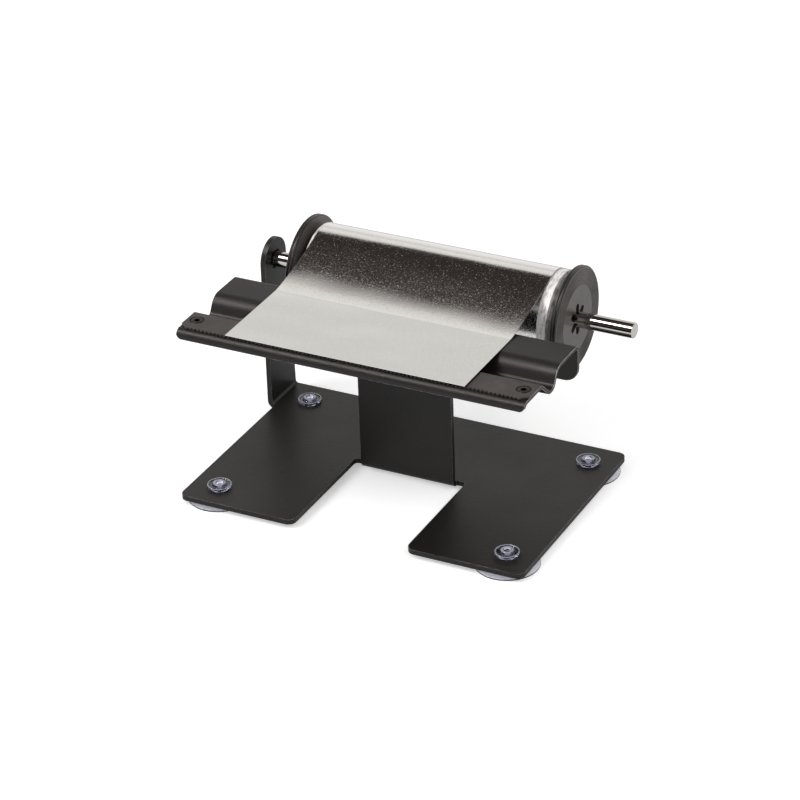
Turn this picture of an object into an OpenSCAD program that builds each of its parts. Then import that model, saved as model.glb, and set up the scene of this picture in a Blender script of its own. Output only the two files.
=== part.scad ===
/* [Stand] */
// Width of the base plate, left to right
base_w = 175; // [165:1:190]
// Depth of the base plate, front to rear
base_d = 118; // [114:1:130]
// Thickness of the stand's folded sheet
stand_t = 2.5; // [1.5:0.1:3]
// Corner radius of the base plate
base_corner_r = 4; // [1:0.5:8]
// Width of the gap between the two feet
gap_w = 57.6; // [54:0.2:64]
// Width of the centre panel
panel_w = 48; // [40:0.5:50]
// How far the panel and the gap sit right of the plate's middle
panel_shift = 0.9; // [0:0.1:4]
// Inside radius of the stand's folds
fold_r = 1.5; // [1:0.1:2.5]
// From the plate's middle back to the panel's front face
panel_y = 0.5; // [0:0.1:2]
// From the plate's middle back to the upright's front edge
upright_y = 34.7; // [32:0.1:36]
// Radius of the upright's round ear
ear_r = 10.5; // [9:0.1:11]

/* [Tray] */
// Width of the tray, left to right
tray_w = 174; // [165:1:190]
// Thickness of the tray's sheet
tray_t = 1.5; // [1:0.1:2]
// Depth of the tray from its skirt to its rear flange
tray_d = 58.7; // [55:0.1:62]
// Clear space between the panel and the rear flange
flange_gap = 1.2; // [0.5:0.1:3]
// Height of the tray's crest above the table
crest_h = 89.7; // [85:0.1:92]
// How far the deck lies below the crest
deck_drop = 1.1; // [0.9:0.1:2]
// Depth of the deck with its rounded nose
deck_d = 17.8; // [17:0.1:20]
// Depth of the groove below the deck
groove_depth = 7; // [5:0.1:9]
// Flat width at the bottom of the groove
groove_flat = 1.2; // [0.5:0.1:3]
// Slope of the groove's front wall, in degrees
groove_front_a = 42; // [36:1:60]
// Slope of the groove's rear wall, in degrees
groove_rear_a = 62; // [50:1:75]
// Height of the front skirt below the deck
skirt_h = 4.4; // [3.8:0.1:8]
// Height of the rear flange below the crest
flange_h = 19.2; // [14:0.1:24]

/* [Cutter] */
// Depth of the cutter strip, front to rear
blade_d = 13.6; // [12.8:0.1:13.8]
// Thickness of the cutter strip
blade_t = 0.9; // [0.6:0.1:1]
// Spacing of the cutter's teeth
tooth_pitch = 2; // [1.5:0.1:4]
// Depth of the cutter's teeth
tooth_d = 1.1; // [0.5:0.1:1.5]
// Distance of each cutter screw from the tray's end
blade_screw_inset = 5.2; // [5:0.1:12]

/* [Fixings] */
// Shank diameter of the cutter and tray screws
screw_d = 3; // [2.5:0.1:3.4]
// Head diameter of the cutter and tray screws
screw_head_d = 6.4; // [5.8:0.1:6.8]
// Spacing of the two tray screws on the panel's tab
tray_screw_gap = 28; // [20:1:36]
// Width of a nut across its flats
nut_w = 5.5; // [5:0.1:7]
// Thickness of a nut
nut_t = 2.4; // [2:0.1:3]
// Radial clearance of a screw in its hole
hole_fit = 0.1; // [0.05:0.05:0.2]

/* [Feet] */
// Distance of each suction cup's centre from the plate's left or right edge
cup_inset_x = 13.7; // [10:0.1:16]
// Distance of each suction cup's centre from the plate's front or rear edge
cup_inset_y = 14.2; // [10:0.1:16]
// Diameter of a suction cup
cup_d = 30.2; // [26:0.1:32]
// Height of a pressed suction cup below the plate
cup_h = 2.6; // [2:0.1:4]
// Diameter of a suction cup's mushroom head
head_d = 12; // [10:0.1:14]
// Diameter of a suction cup's neck in the plate
neck_d = 6; // [5:0.1:7]

/* [Roll] */
// How far the shaft's axis lies below the tray's crest
axis_drop = 10.4; // [8:0.1:12]
// Diameter of the shaft
shaft_d = 7.6; // [7:0.1:9]
// Length of the shaft from the ear
shaft_l = 186.3; // [182:0.1:200]
// Diameter of an end disc
disc_d = 50; // [48:0.1:54]
// Thickness of an end disc
disc_t = 3.2; // [2.5:0.1:4]
// From the ear to the left disc
disc_start = 18.2; // [16:0.1:20]
// Height of the shoulder that holds a disc off the foil
shoulder_t = 2.2; // [1.5:0.1:2.5]
// Length of a disc's hub inside the core
hub_l = 10; // [8:0.5:14]
// Radial clearance between the discs and the shaft
shaft_fit = 0.05; // [0.02:0.01:0.1]
// Spacing of the rings on a disc's face
ring_pitch = 1.1; // [0.9:0.05:1.4]
// Inside diameter of the foil's core
core_d = 27; // [25:0.5:30]
// Wall of the foil's core
core_wall = 1.5; // [1:0.1:2]
// Diameter of the wound foil
roll_d = 44; // [40:0.1:46]
// Length of the wound foil
roll_l = 126.8; // [123:0.1:129]
// How much longer the foil's core is than the wound foil
core_spare = 1.7; // [1.5:0.1:4]

/* [Foil] */
// Width of the drawn-out foil
foil_w = 120; // [110:1:122]
// Thickness of the drawn-out foil's solid
foil_t = 0.3; // [0.2:0.05:0.4]
// Clearance of the drawn-out foil over the roll and the tray
foil_gap = 0.3; // [0.2:0.05:0.4]
// Where the foil leaves the roll, in degrees past the roll's top
foil_leave_a = 26; // [20:1:32]

/* [Hidden] */
$fn = 96;
// How far a cut runs past the surface that it goes through
overrun = 1;

// Length and height that a fold of an angle and a radius covers
function run(a, r) = r * sin(a);
function rise(a, r) = r * (1 - cos(a));

// Folds of the tray, and the wave between its deck and its crest as flat, turn and inside radius
nose_r = 2;
crease_r = 1.5;
groove_r = 3;
rear_r = 2.5;
flange_corner_r = 7;
nose_out = nose_r + tray_t;
skirt_corner_r = skirt_h - tray_t;
crease_out = crease_r + tray_t;
rear_out = rear_r + tray_t;
front_wall_l = (groove_depth - rise(groove_front_a, crease_out + groove_r)) / sin(groove_front_a);
front_wall_d = run(groove_front_a, crease_out + groove_r) + front_wall_l * cos(groove_front_a);
rear_wall_h = groove_depth + deck_drop;
rear_wall_l = (rear_wall_h - rise(groove_rear_a, crease_out + groove_r)) / sin(groove_rear_a);
rear_wall_d = run(groove_rear_a, crease_out + groove_r) + rear_wall_l * cos(groove_rear_a);
crest_l = tray_d - deck_d - front_wall_d - groove_flat - rear_wall_d - rear_out;
WAVE = [
    [0, -groove_front_a, crease_r],
    [front_wall_l, groove_front_a, groove_r],
    [groove_flat, groove_rear_a, groove_r],
    [rear_wall_l, -groove_rear_a, crease_r]
];
wave_step_a = 7;

// Places of the stand and the tray, from the plate's middle and the table
plate_top = cup_h + stand_t;
fold_out = fold_r + stand_t;
gap_rear_y = panel_y + fold_out;
panel_rear_y = panel_y + stand_t;
tray_rear_y = panel_rear_y + flange_gap + tray_t;
tray_front_y = tray_rear_y - tray_d;
deck_top = crest_h - deck_drop;
crest_rear_y = tray_rear_y - rear_out;
tab_clear = 3.4;
tab_top = crest_h - tray_t;
tab_rear_y = panel_rear_y - fold_out;
tab_l = tab_rear_y - crest_rear_y + crest_l - tab_clear;
panel_flat = tab_top - cup_h - 2 * fold_out;
inner_corner_r = base_corner_r / 2;
upright_foot_w = base_d / 2 - upright_y;
ear_outer_x = -base_w / 2 - fold_out;
ear_inner_x = ear_outer_x + stand_t;
axis_y = upright_y + ear_r;
axis_h = crest_h - axis_drop;

// Cutter strip and fixings
blade_setback = 4.1;
blade_corner = 2.6;
blade_front_y = tray_front_y + blade_setback;
blade_screw_x = tray_w / 2 - blade_screw_inset;
blade_screw_y = blade_front_y + blade_d / 2;
tray_screw_y = tab_rear_y - tab_l / 2;
socket_w = 2;
socket_h = 0.8;
thread_end = 0.8;

// Suction cups
cup_x = base_w / 2 - cup_inset_x;
cup_y = base_d / 2 - cup_inset_y;
cup_fit = 0.05;
cup_pad_d = 13;
cup_edge_t = 0.6;
cup_rim_w = 2;
cup_hollow_h = 0.7;
head_t = 1.1;
lip_w = 0.7;
lip_h = 0.5;
boss_d = 6.4;
boss_h = 1.3;
dimple_d = 3;
dimple_h = 2.6;

// Shaft, discs and roll along the axis
shaft_end_x = ear_inner_x + shaft_l;
chamfer = 0.5;
end_screw_d = 5;
end_screw_head_d = 9.4;
end_screw_l = 12;
end_socket_w = 3;
end_socket_h = 1.6;
left_face_x = ear_inner_x + disc_start;
core_start_x = left_face_x + disc_t + shoulder_t;
core_l = roll_l + core_spare;
right_face_x = core_start_x + core_l + shoulder_t + disc_t;
core_out_r = core_d / 2 + core_wall;
hub_fit = 0.3;
hub_wall = 1.6;
hub_r = core_d / 2 - hub_fit;
bore_r = shaft_d / 2 + shaft_fit;
collar_l = 8;
collar_wall = 1.6;
slot_w = 2.3;
slot_end_r = 8.2;
finger_count = 6;
rim_w = 0.9;
rim_groove = 0.3;
ring_count = 7;
ring_w = 0.8;
ring_depth = 0.4;
roll_fit = 0.05;
roll_shift = -0.65;
roll_start_x = core_start_x + core_spare / 2 + roll_shift;
turn_t = 0.3;
turn_count = 4;
turn_pitch = 1.3;
turn_w = 0.9;
turn_depth = 0.3;

// Path of the drawn-out foil in the plane across the shaft
foil_back_a = 20;
foil_arc_steps = 12;
foil_drop_steps = 14;
foil_shift = -0.5;
foil_pull_share = 0.24;
foil_land_share = 0.45;
foil_r = roll_d / 2 + foil_gap;
foil_low = crest_h + foil_gap;
foil_front_y = blade_front_y - foil_gap;
foil_land_y = crest_rear_y - foil_land_share * crest_l;
foil_start_x = roll_start_x + (roll_l - foil_w) / 2 + foil_shift;

// The object's own frame has its origin under the middle of its outer box, on the table
frame_x = (ear_outer_x + shaft_end_x) / 2;
front_reach = max(base_d / 2, cup_y + cup_d / 2);
rear_reach = max(base_d / 2, axis_y + disc_d / 2);
frame_y = (rear_reach - front_reach) / 2;

// Moves a piece from the plate's middle to the object's own frame
module in_frame() {
    translate([-frame_x, -frame_y, 0])
        children();
}

// Lays a piece modelled up the Z axis along the shaft's axis, starting at x
module on_axis(x) {
    translate([x, axis_y, axis_h])
        rotate([90, 0, 90])
            children();
}

// The bent metal of one fold, seen from the side: it turns by the angle a about the origin
module bend(t, r, a) {
    reach = r + t + overrun;
    intersection() {
        difference() {
            circle(r + t);
            circle(r);
        }
        translate([0, -reach])
            square([reach, 2 * reach]);
        rotate(a)
            translate([-reach, -reach])
                square([reach, 2 * reach]);
    }
}

// Side view of a folded sheet that starts at the origin and runs along +X, its top face up.
// Each step is a flat's length, the angle that the sheet then turns up, and the inside radius.
module fold_path(steps, t, i = 0) {
    if (i < len(steps)) {
        flat = steps[i][0];
        a = steps[i][1];
        r = steps[i][2];
        centre = a > 0 ? r : -t - r;
        if (flat > 0)
            translate([0, -t])
                square([flat, t]);
        if (a != 0)
            translate([flat, centre]) {
                bend(t, r, a);
                rotate(a)
                    translate([0, -centre])
                        fold_path(steps, t, i + 1);
            }
    }
}

// A folded sheet of width w about the plane X = 0 that runs along +Y
module folded_sheet(steps, w, t) {
    translate([-w / 2, 0, 0])
        rotate([90, 0, 90])
            linear_extrude(w)
                fold_path(steps, t);
}

// Unit normal of a sheet that runs at the angle a
function normal(a) = [-sin(a), cos(a)];

// Points at a depth below the top face of the wave, which starts at a point of that face
function wave_points(depth, at, a = 0, i = 0) =
    i == len(WAVE) ? [] :
    let (
        turn = WAVE[i][1],
        r = WAVE[i][2],
        side = sign(turn),
        reach = turn > 0 ? r : r + tray_t,
        bent = reach + side * depth,
        centre = at + WAVE[i][0] * [cos(a), sin(a)] + side * reach * normal(a),
        count = ceil(abs(turn) / wave_step_a)
    )
    concat(
        [for (j = [0 : count]) centre - side * bent * normal(a + turn * j / count)],
        wave_points(depth, centre - side * reach * normal(a + turn), a + turn, i + 1)
    );

// Side view of the tray's sheet: skirt, nose, deck, groove, crest and rear flange
module tray_outline() {
    wave_y = tray_front_y + deck_d;
    top = wave_points(0, [wave_y, deck_top]);
    translate([tray_front_y, deck_top - skirt_h])
        rotate(90)
            fold_path([[skirt_h - nose_out, -90, nose_r], [deck_d - nose_out, 0, 0]], tray_t);
    translate([crest_rear_y - crest_l, crest_h])
        fold_path([[crest_l, -90, rear_r], [flange_h - rear_out, 0, 0]], tray_t);
    polygon(concat(
        [[wave_y - overrun, deck_top], [wave_y - overrun, deck_top - tray_t]],
        wave_points(tray_t, [wave_y, deck_top]),
        [[crest_rear_y - overrun, crest_h - tray_t], [crest_rear_y - overrun, crest_h]],
        [for (i = [len(top) - 1 : -1 : 0]) top[i]]
    ));
}

// A rectangle about the origin with rounded corners
module rounded_rect(w, d, r) {
    square([w - 2 * r, d], center = true);
    square([w, d - 2 * r], center = true);
    for (x = [-1, 1], y = [-1, 1])
        translate([x * (w / 2 - r), y * (d / 2 - r)])
            circle(r);
}

// What lies between a square corner at the origin and a rounding inside +X and +Y
module corner_piece(r) {
    difference() {
        translate([-overrun, -overrun])
            square(r + overrun);
        translate([r, r])
            circle(r);
    }
}

// Rounds the two lower corners of a flange that hangs across the tray from y back to y + depth
module flange_corners(y, depth, low_z, r) {
    for (side = [-1, 1])
        translate([side * tray_w / 2, y + depth + overrun, low_z])
            rotate([90, 0, 0])
                linear_extrude(depth + 2 * overrun)
                    rotate(side > 0 ? 90 : 0)
                        corner_piece(r);
}

// A countersunk screw with a hexagon socket: its head's face is at the origin, its shank goes down
module sunk_screw(d, head, l, across, deep) {
    difference() {
        rotate_extrude()
            polygon([[0, 0], [head / 2, 0], [d / 2, -(head - d) / 2], [d / 2, -l], [0, -l]]);
        translate([0, 0, -deep])
            cylinder(d = across / cos(30), h = deep + overrun, $fn = 6);
    }
}

// The hole for a countersunk screw
module sunk_hole(d, head, l) {
    shank = d / 2 + hole_fit;
    mouth = head / 2 + hole_fit;
    rotate_extrude()
        polygon([[0, overrun], [mouth, overrun], [mouth, 0], [shank, shank - mouth],
            [shank, -l], [0, -l]]);
}

// A hexagon nut whose top face is at the origin
module nut() {
    translate([0, 0, -nut_t])
        difference() {
            cylinder(d = nut_w / cos(30), h = nut_t, $fn = 6);
            translate([0, 0, -overrun])
                cylinder(d = screw_d + 2 * hole_fit, h = nut_t + 2 * overrun);
        }
}

// Puts a cutter fixing at the left (-1) or right (1) end of the strip, at height z
module at_blade_screw(side, z) {
    translate([side * blade_screw_x, blade_screw_y, z])
        children();
}

// Puts a tray fixing left (-1) or right (1) on the panel's tab, at height z
module at_tray_screw(side, z) {
    translate([panel_shift + side * tray_screw_gap / 2, tray_screw_y, z])
        children();
}

// Outline of the base plate with the gap between its feet
module base_outline() {
    difference() {
        union() {
            rounded_rect(base_w, base_d, base_corner_r);
            translate([-base_w / 2, base_d / 2 - upright_foot_w])
                square([base_corner_r, upright_foot_w]);
        }
        translate([panel_shift - gap_w / 2, -base_d / 2 - overrun])
            square([gap_w, gap_rear_y + base_d / 2 + overrun]);
        translate([panel_shift - gap_w / 2, -base_d / 2])
            rotate(90)
                corner_piece(base_corner_r);
        translate([panel_shift + gap_w / 2, -base_d / 2])
            corner_piece(base_corner_r);
    }
    translate([panel_shift - gap_w / 2, gap_rear_y])
        rotate(-90)
            corner_piece(inner_corner_r);
    translate([panel_shift + gap_w / 2, gap_rear_y])
        rotate(180)
            corner_piece(inner_corner_r);
}

// The upright above its fold: it narrows towards a round ear about the shaft's axis
module ear_plate() {
    low_z = plate_top + fold_r;
    translate([ear_outer_x, 0, 0])
        rotate([90, 0, 90])
            linear_extrude(stand_t) {
                polygon([
                    [upright_y, low_z],
                    [base_d / 2, low_z],
                    [axis_y + ear_r, axis_h],
                    [upright_y, axis_h]
                ]);
                translate([axis_y, axis_h])
                    circle(ear_r);
            }
}

module stand() {
    color("#2f2d2b")
        in_frame()
            difference() {
                union() {
                    translate([0, 0, cup_h])
                        linear_extrude(stand_t)
                            base_outline();
                    translate([panel_shift, gap_rear_y, plate_top])
                        rotate([0, 0, 180])
                            folded_sheet([[0, 90, fold_r], [panel_flat, -90, fold_r], [tab_l, 0, 0]],
                                panel_w, stand_t);
                    translate([-base_w / 2, base_d / 2 - upright_foot_w / 2, plate_top])
                        rotate([0, 0, 90])
                            folded_sheet([[0, 90, fold_r]], upright_foot_w, stand_t);
                    ear_plate();
                }
                for (x = [-1, 1], y = [-1, 1])
                    translate([x * cup_x, y * cup_y, cup_h - overrun])
                        cylinder(d = neck_d + 2 * cup_fit, h = stand_t + 2 * overrun);
                for (side = [-1, 1])
                    at_tray_screw(side, crest_h)
                        sunk_hole(screw_d, screw_head_d, tray_t + stand_t + overrun);
                on_axis(ear_outer_x)
                    rotate([180, 0, 0])
                        sunk_hole(end_screw_d, end_screw_head_d, stand_t + overrun);
            }
}

module tray() {
    color("#353331")
        in_frame()
            difference() {
                translate([-tray_w / 2, 0, 0])
                    rotate([90, 0, 90])
                        linear_extrude(tray_w)
                            tray_outline();
                flange_corners(tray_front_y, nose_out, deck_top - skirt_h, skirt_corner_r);
                flange_corners(tray_rear_y - tray_t, tray_t, crest_h - flange_h, flange_corner_r);
                for (side = [-1, 1]) {
                    at_blade_screw(side, deck_top + blade_t)
                        sunk_hole(screw_d, screw_head_d, blade_t + tray_t + overrun);
                    at_tray_screw(side, crest_h)
                        sunk_hole(screw_d, screw_head_d, tray_t + overrun);
                }
            }
}

// A flat strip with saw teeth along its front edge and cut front corners
module cutter_blade() {
    teeth = floor((tray_w - 2 * blade_corner) / tooth_pitch);
    first = -teeth * tooth_pitch / 2;
    saw = [for (i = [0 : teeth - 1]) each [
        [first + i * tooth_pitch, tooth_d],
        [first + (i + 0.5) * tooth_pitch, 0]
    ]];
    ends = [
        [-first, tooth_d],
        [tray_w / 2, tooth_d + blade_corner],
        [tray_w / 2, blade_d],
        [-tray_w / 2, blade_d],
        [-tray_w / 2, tooth_d + blade_corner]
    ];
    color("#3a3836")
        in_frame()
            difference() {
                translate([0, blade_front_y, deck_top])
                    linear_extrude(blade_t)
                        polygon(concat(saw, ends));
                for (side = [-1, 1])
                    at_blade_screw(side, deck_top + blade_t)
                        sunk_hole(screw_d, screw_head_d, blade_t + overrun);
            }
}

module cutter_screw(side) {
    color("#4a4746")
        in_frame()
            at_blade_screw(side, deck_top + blade_t)
                sunk_screw(screw_d, screw_head_d, blade_t + tray_t + nut_t + thread_end,
                    socket_w, socket_h);
}

module cutter_nut(side) {
    color("#8f8d8a")
        in_frame()
            at_blade_screw(side, deck_top - tray_t)
                nut();
}

module tray_screw(side) {
    color("#4a4746")
        in_frame()
            at_tray_screw(side, crest_h)
                sunk_screw(screw_d, screw_head_d, tray_t + stand_t + nut_t + thread_end,
                    socket_w, socket_h);
}

module tray_nut(side) {
    color("#8f8d8a")
        in_frame()
            at_tray_screw(side, tab_top - stand_t)
                nut();
}

// A pressed suction cup: cup under the plate, neck through it, ringed mushroom head on top
module cup(x_side, y_side) {
    head_z = plate_top + head_t;
    color("#c9d4e6")
        in_frame()
            translate([x_side * cup_x, y_side * cup_y, 0])
                rotate_extrude()
                    polygon([
                        [0, cup_hollow_h],
                        [cup_d / 2 - cup_rim_w, 0],
                        [cup_d / 2, 0],
                        [cup_d / 2, cup_edge_t],
                        [cup_pad_d / 2, cup_h],
                        [neck_d / 2, cup_h],
                        [neck_d / 2, plate_top],
                        [head_d / 2, plate_top],
                        [head_d / 2, head_z + lip_h],
                        [head_d / 2 - lip_w / 2, head_z + lip_h],
                        [head_d / 2 - lip_w, head_z],
                        [boss_d / 2, head_z],
                        [boss_d / 2, head_z + boss_h],
                        [dimple_d / 2, head_z + boss_h],
                        [dimple_d / 2, head_z + boss_h - dimple_h],
                        [0, head_z + boss_h - dimple_h]
                    ]);
}

// A plain rod with a cut edge at its free end and a tapped hole for its screw at the other
module shaft() {
    hole_r = end_screw_d / 2 + hole_fit;
    color("#b9b6b1")
        in_frame()
            on_axis(ear_inner_x)
                rotate_extrude()
                    polygon([
                        [hole_r, 0],
                        [shaft_d / 2, 0],
                        [shaft_d / 2, shaft_l - chamfer],
                        [shaft_d / 2 - chamfer, shaft_l],
                        [0, shaft_l],
                        [0, end_screw_l],
                        [hole_r, end_screw_l]
                    ]);
}

module shaft_screw() {
    color("#4a4746")
        in_frame()
            on_axis(ear_outer_x)
                rotate([180, 0, 0])
                    sunk_screw(end_screw_d, end_screw_head_d, end_screw_l,
                        end_socket_w, end_socket_h);
}

// Half section of an end disc: its ringed face is at height 0 and its hub goes up
function disc_section() =
    let (
        r = disc_d / 2,
        ring_start = r - rim_w - ring_count * ring_pitch,
        hub_z = disc_t + shoulder_t,
        rings = [for (i = [0 : ring_count - 1]) each [
            [ring_start + i * ring_pitch, 0],
            [ring_start + i * ring_pitch + ring_w / 2, ring_depth],
            [ring_start + i * ring_pitch + ring_w, 0]
        ]]
    )
    concat(
        [[bore_r, 0]],
        rings,
        [
            [r - chamfer, 0],
            [r, chamfer],
            [r, disc_t / 2 - rim_groove],
            [r - rim_groove, disc_t / 2],
            [r, disc_t / 2 + rim_groove],
            [r, disc_t - chamfer],
            [r - chamfer, disc_t],
            [core_out_r, disc_t],
            [core_out_r, hub_z],
            [hub_r, hub_z],
            [hub_r, hub_z + hub_l - chamfer],
            [hub_r - chamfer, hub_z + hub_l],
            [hub_r - hub_wall, hub_z + hub_l],
            [hub_r - hub_wall, disc_t],
            [bore_r + collar_wall, disc_t],
            [bore_r + collar_wall, disc_t + collar_l],
            [bore_r, disc_t + collar_l]
        ]
    );

// An end disc whose slots leave spring fingers that grip the shaft
module disc() {
    difference() {
        rotate_extrude()
            polygon(disc_section());
        for (i = [0 : finger_count - 1])
            rotate([0, 0, i * 360 / finger_count])
                translate([0, 0, -overrun])
                    linear_extrude(disc_t + collar_l + 2 * overrun) {
                        translate([0, -slot_w / 2])
                            square([slot_end_r - slot_w / 2, slot_w]);
                        translate([slot_end_r - slot_w / 2, 0])
                            circle(d = slot_w);
                    }
    }
}

module left_disc() {
    color("#262524")
        in_frame()
            on_axis(left_face_x)
                disc();
}

module right_disc() {
    color("#262524")
        in_frame()
            on_axis(right_face_x)
                rotate([180, 0, 0])
                    disc();
}

module roll_core() {
    color("#b59a72")
        in_frame()
            on_axis(core_start_x)
                difference() {
                    cylinder(r = core_out_r, h = core_l);
                    translate([0, 0, -overrun])
                        cylinder(d = core_d, h = core_l + 2 * overrun);
                }
}

// The wound foil: its ends show turns as rings, and its last turn is narrower than the rest
module foil_roll() {
    inner = core_out_r + roll_fit;
    outer = roll_d / 2 - turn_t;
    last_start = (roll_l - foil_w) / 2;
    low_end = [for (i = [turn_count - 1 : -1 : 0]) each [
        [outer - i * turn_pitch - turn_pitch, 0],
        [outer - i * turn_pitch - turn_pitch + turn_w / 2, turn_depth],
        [outer - i * turn_pitch - turn_pitch + turn_w, 0]
    ]];
    high_end = [for (p = low_end) [p[0], roll_l - p[1]]];
    half = concat(
        [[inner, 0]],
        low_end,
        [
            [outer, 0],
            [outer, last_start],
            [roll_d / 2, last_start],
            [roll_d / 2, roll_l - last_start],
            [outer, roll_l - last_start],
            [outer, roll_l]
        ],
        [for (i = [len(high_end) - 1 : -1 : 0]) high_end[i]],
        [[inner, roll_l]]
    );
    color("#cfcec9")
        in_frame()
            on_axis(roll_start_x)
                rotate_extrude()
                    polygon(half);
}

// Point and upward normal on the foil's lower face, round the roll, a degrees past its top
function on_roll(a) = [
    [axis_y - foil_r * sin(a), axis_h + foil_r * cos(a)],
    [-sin(a), cos(a)]
];

// Point and upward normal on the smooth drop from the roll to the tray's crest
function on_drop(u) =
    let (
        start = on_roll(foil_leave_a)[0],
        end = [foil_land_y, foil_low],
        pull = foil_pull_share * (start[0] - end[0]),
        bend = start + pull * [-cos(foil_leave_a), -sin(foil_leave_a)],
        lead = end + pull * [1, 0],
        v = 1 - u,
        p = v * v * v * start + 3 * v * v * u * bend + 3 * v * u * u * lead + u * u * u * end,
        d = v * v * (bend - start) + 2 * v * u * (lead - bend) + u * u * (end - lead)
    )
    [p, [d[1], -d[0]] / norm(d)];

// The foil from behind the roll's top, down to the crest, and flat to the cutter
module foil_sheet() {
    arc_a = foil_back_a + foil_leave_a;
    path = concat(
        [for (i = [0 : foil_arc_steps - 1]) on_roll(i * arc_a / foil_arc_steps - foil_back_a)],
        [for (i = [0 : foil_drop_steps]) on_drop(i / foil_drop_steps)],
        [[[foil_front_y, foil_low], [0, 1]]]
    );
    last = len(path) - 1;
    color("#d9d8d4")
        in_frame()
            translate([foil_start_x, 0, 0])
                rotate([90, 0, 90])
                    linear_extrude(foil_w)
                        polygon(concat(
                            [for (p = path) p[0]],
                            [for (i = [last : -1 : 0]) path[i][0] + foil_t * path[i][1]]
                        ));
}

stand();
tray();
cutter_blade();
cutter_screw(-1);  // cutter_screw_left
cutter_screw(1);  // cutter_screw_right
cutter_nut(-1);  // cutter_nut_left
cutter_nut(1);  // cutter_nut_right
tray_screw(-1);  // tray_screw_left
tray_screw(1);  // tray_screw_right
tray_nut(-1);  // tray_nut_left
tray_nut(1);  // tray_nut_right
cup(-1, -1);  // cup_front_left
cup(1, -1);  // cup_front_right
cup(-1, 1);  // cup_rear_left
cup(1, 1);  // cup_rear_right
shaft();
shaft_screw();
left_disc();
right_disc();
roll_core();
foil_roll();
foil_sheet();
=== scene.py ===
# %% [markdown]
# # A foil dispenser
# A folded black stand carries a rod, and the rod carries a roll of thin aluminium foil between
# two ringed discs. The foil runs forward over a wavy tray to a toothed strip, where a length is
# torn off. This lesson dresses the measured model of it: each bent, turned or moulded piece is
# shaped again with the tools that a modeller uses in edit mode, and then gets the finish of its
# real material.

# %% Load the measured model
import math
import bmesh
import bpy
from mathutils import Matrix, Vector


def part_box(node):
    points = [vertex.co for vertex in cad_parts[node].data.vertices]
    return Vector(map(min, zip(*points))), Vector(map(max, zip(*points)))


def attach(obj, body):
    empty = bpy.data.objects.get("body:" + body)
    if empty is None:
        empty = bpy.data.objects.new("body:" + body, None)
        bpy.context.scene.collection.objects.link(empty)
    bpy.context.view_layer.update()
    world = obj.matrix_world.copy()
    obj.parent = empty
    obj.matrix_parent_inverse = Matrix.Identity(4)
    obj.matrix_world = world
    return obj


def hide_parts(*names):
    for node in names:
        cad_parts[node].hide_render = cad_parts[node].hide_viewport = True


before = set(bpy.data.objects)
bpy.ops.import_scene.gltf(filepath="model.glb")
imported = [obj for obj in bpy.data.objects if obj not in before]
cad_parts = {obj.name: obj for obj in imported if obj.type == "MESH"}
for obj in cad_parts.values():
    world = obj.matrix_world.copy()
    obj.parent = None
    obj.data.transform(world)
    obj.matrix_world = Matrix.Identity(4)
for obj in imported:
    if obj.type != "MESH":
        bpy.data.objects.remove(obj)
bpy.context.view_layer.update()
print("nodes of the measured model:", len(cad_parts))

# %% [markdown]
# ## Where things are
# Plans of such a stand are drawn in millimetres from the middle of its base plate. Blender works
# in metres, and the measured model stands on the middle of its whole box, which is a little to
# one side because the rod sticks out. One function turns a place on the plan into a place in the
# scene.

# %% Plan places
MM = 0.001
BASE_WIDE, BASE_DEEP = 175, 118
SHEET = 2.5
PLATE_TOP = 5.1
UPRIGHT_OUT = 4
stand_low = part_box("stand")[0]
MIDDLE = Vector((stand_low[0] + (BASE_WIDE / 2 + UPRIGHT_OUT) * MM,
    stand_low[1] + BASE_DEEP / 2 * MM, 0))

def at(x, y, z):
    """A place on the plan, in millimetres, as a place in the scene."""
    return MIDDLE + Vector((x, y, z)) * MM

def plan(point):
    """A place in the scene as millimetres on the plan."""
    return (Vector(point) - MIDDLE) / MM

print("middle of the base plate:", [round(c, 5) for c in MIDDLE])

# %% [markdown]
# ## The camera
# A long lens, well back from the object, keeps its upright lines nearly parallel, as in product
# photographs. The camera's place was found by fitting the straight edges of the stand to the
# picture, so it is written as a matrix: where it looks, which way is up, and where it stands.

# %% Camera
def place_camera(where, turn, lens):
    """A camera at a place. The rotation vector takes the scene's axes to right, down and ahead."""
    camera = bpy.data.objects.new("camera", bpy.data.cameras.new("camera"))
    bpy.context.scene.collection.objects.link(camera)
    right, down, ahead = Matrix.Rotation(turn.length, 3, turn.normalized())
    matrix = Matrix.Identity(4)
    for row in range(3):
        matrix[row][0], matrix[row][1], matrix[row][2], matrix[row][3] = (
            right[row], -down[row], -ahead[row], where[row])
    camera.matrix_world = matrix
    camera.data.sensor_width = 36
    camera.data.lens = lens
    camera.data.clip_end = 20
    bpy.context.scene.camera = camera
    return camera

bpy.context.scene.view_settings.view_transform = "Standard"
camera = place_camera(Vector((634.3955, -1227.7802, 807.2118)) * MM,
    Vector((2.0391, 0.4638, -0.3141)), 153.808)
print("camera stands", round(camera.location.length, 2), "m away")

# %% [markdown]
# ## The edit-mode helpers
# Operators work on whatever is selected, so every piece starts with nothing selected. Points,
# edges and faces are then chosen by where they are, which stays right however a mesh is numbered.

# %% Start, pick and finish a piece
def nothing_selected():
    if bpy.context.object and bpy.context.object.mode != "OBJECT":
        bpy.ops.object.mode_set(mode="OBJECT")
    bpy.ops.object.select_all(action="DESELECT")

def begin(name, size=(1, 1, 1)):
    """Names the primitive just added, stretches it, puts its place into its mesh and opens it."""
    piece = bpy.context.active_object
    piece.name = piece.data.name = name
    piece.scale = size
    bpy.ops.object.transform_apply(location=True, rotation=True, scale=True)
    bpy.ops.object.mode_set(mode="EDIT")
    bpy.ops.mesh.select_mode(type="VERT")
    bpy.ops.mesh.select_all(action="SELECT")
    return piece

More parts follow.
